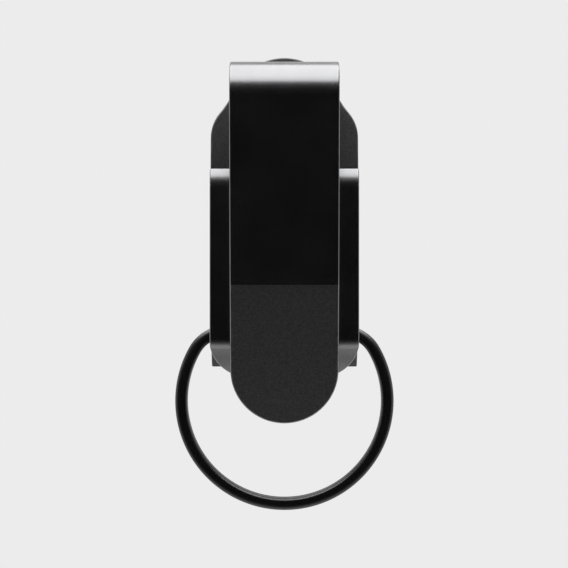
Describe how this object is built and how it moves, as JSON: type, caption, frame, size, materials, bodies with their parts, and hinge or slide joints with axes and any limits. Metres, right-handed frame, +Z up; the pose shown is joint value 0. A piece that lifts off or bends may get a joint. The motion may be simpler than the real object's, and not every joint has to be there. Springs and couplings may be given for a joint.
{
  "type": "key organiser clip",
  "caption": "Black folded-steel belt clip with a sprung release lever behind it and a flat-topped split key ring in the clip's lower lip.",
  "frame": {"origin": "inside of the top fold, where the belt or pocket edge rests, on the centre plane", "axes": "+Z up along the clip, +Y back from the front arm towards the lever, +X right seen from the front"},
  "size_m": [0.032, 0.0165, 0.0667],
  "materials": {
    "black_satin_steel": "satin black coating on spring steel",
    "black_matte_steel": "matte bead-blasted black coating",
    "black_ring_steel": "gloss black coating",
    "bare_steel": "dark nickel",
    "spring_wire": "bright drawn wire",
    "nylon": "matte"
  },
  "bodies": {
    "clip": {"clip_spring": "black_satin_steel", "hinge_bracket": "black_satin_steel", "hinge_pin": "bare_steel", "washer_left": "nylon", "washer_right": "nylon", "bracket_rivets": "bare_steel", "lever_spring": "spring_wire"},
    "lever": {"release_lever": "black_matte_steel"},
    "ring": {"split_ring": "black_ring_steel"}
  },
  "joints": [
    {"name": "lever_press", "type": "hinge", "parent": "clip", "child": "lever", "pos_m": [0, 0.009, -0.01665], "axis": [1, 0, 0], "range_deg": [0, 10], "stiffness_Nm_per_rad": 0.15, "springref_deg": -20.05, "deforming": ["lever_spring"]},
    {"name": "ring_swing", "type": "hinge", "parent": "clip", "child": "ring", "pos_m": [0, 0.00645, -0.03745], "axis": [1, 0, 0], "range_deg": [-80, 80]}
  ]
}
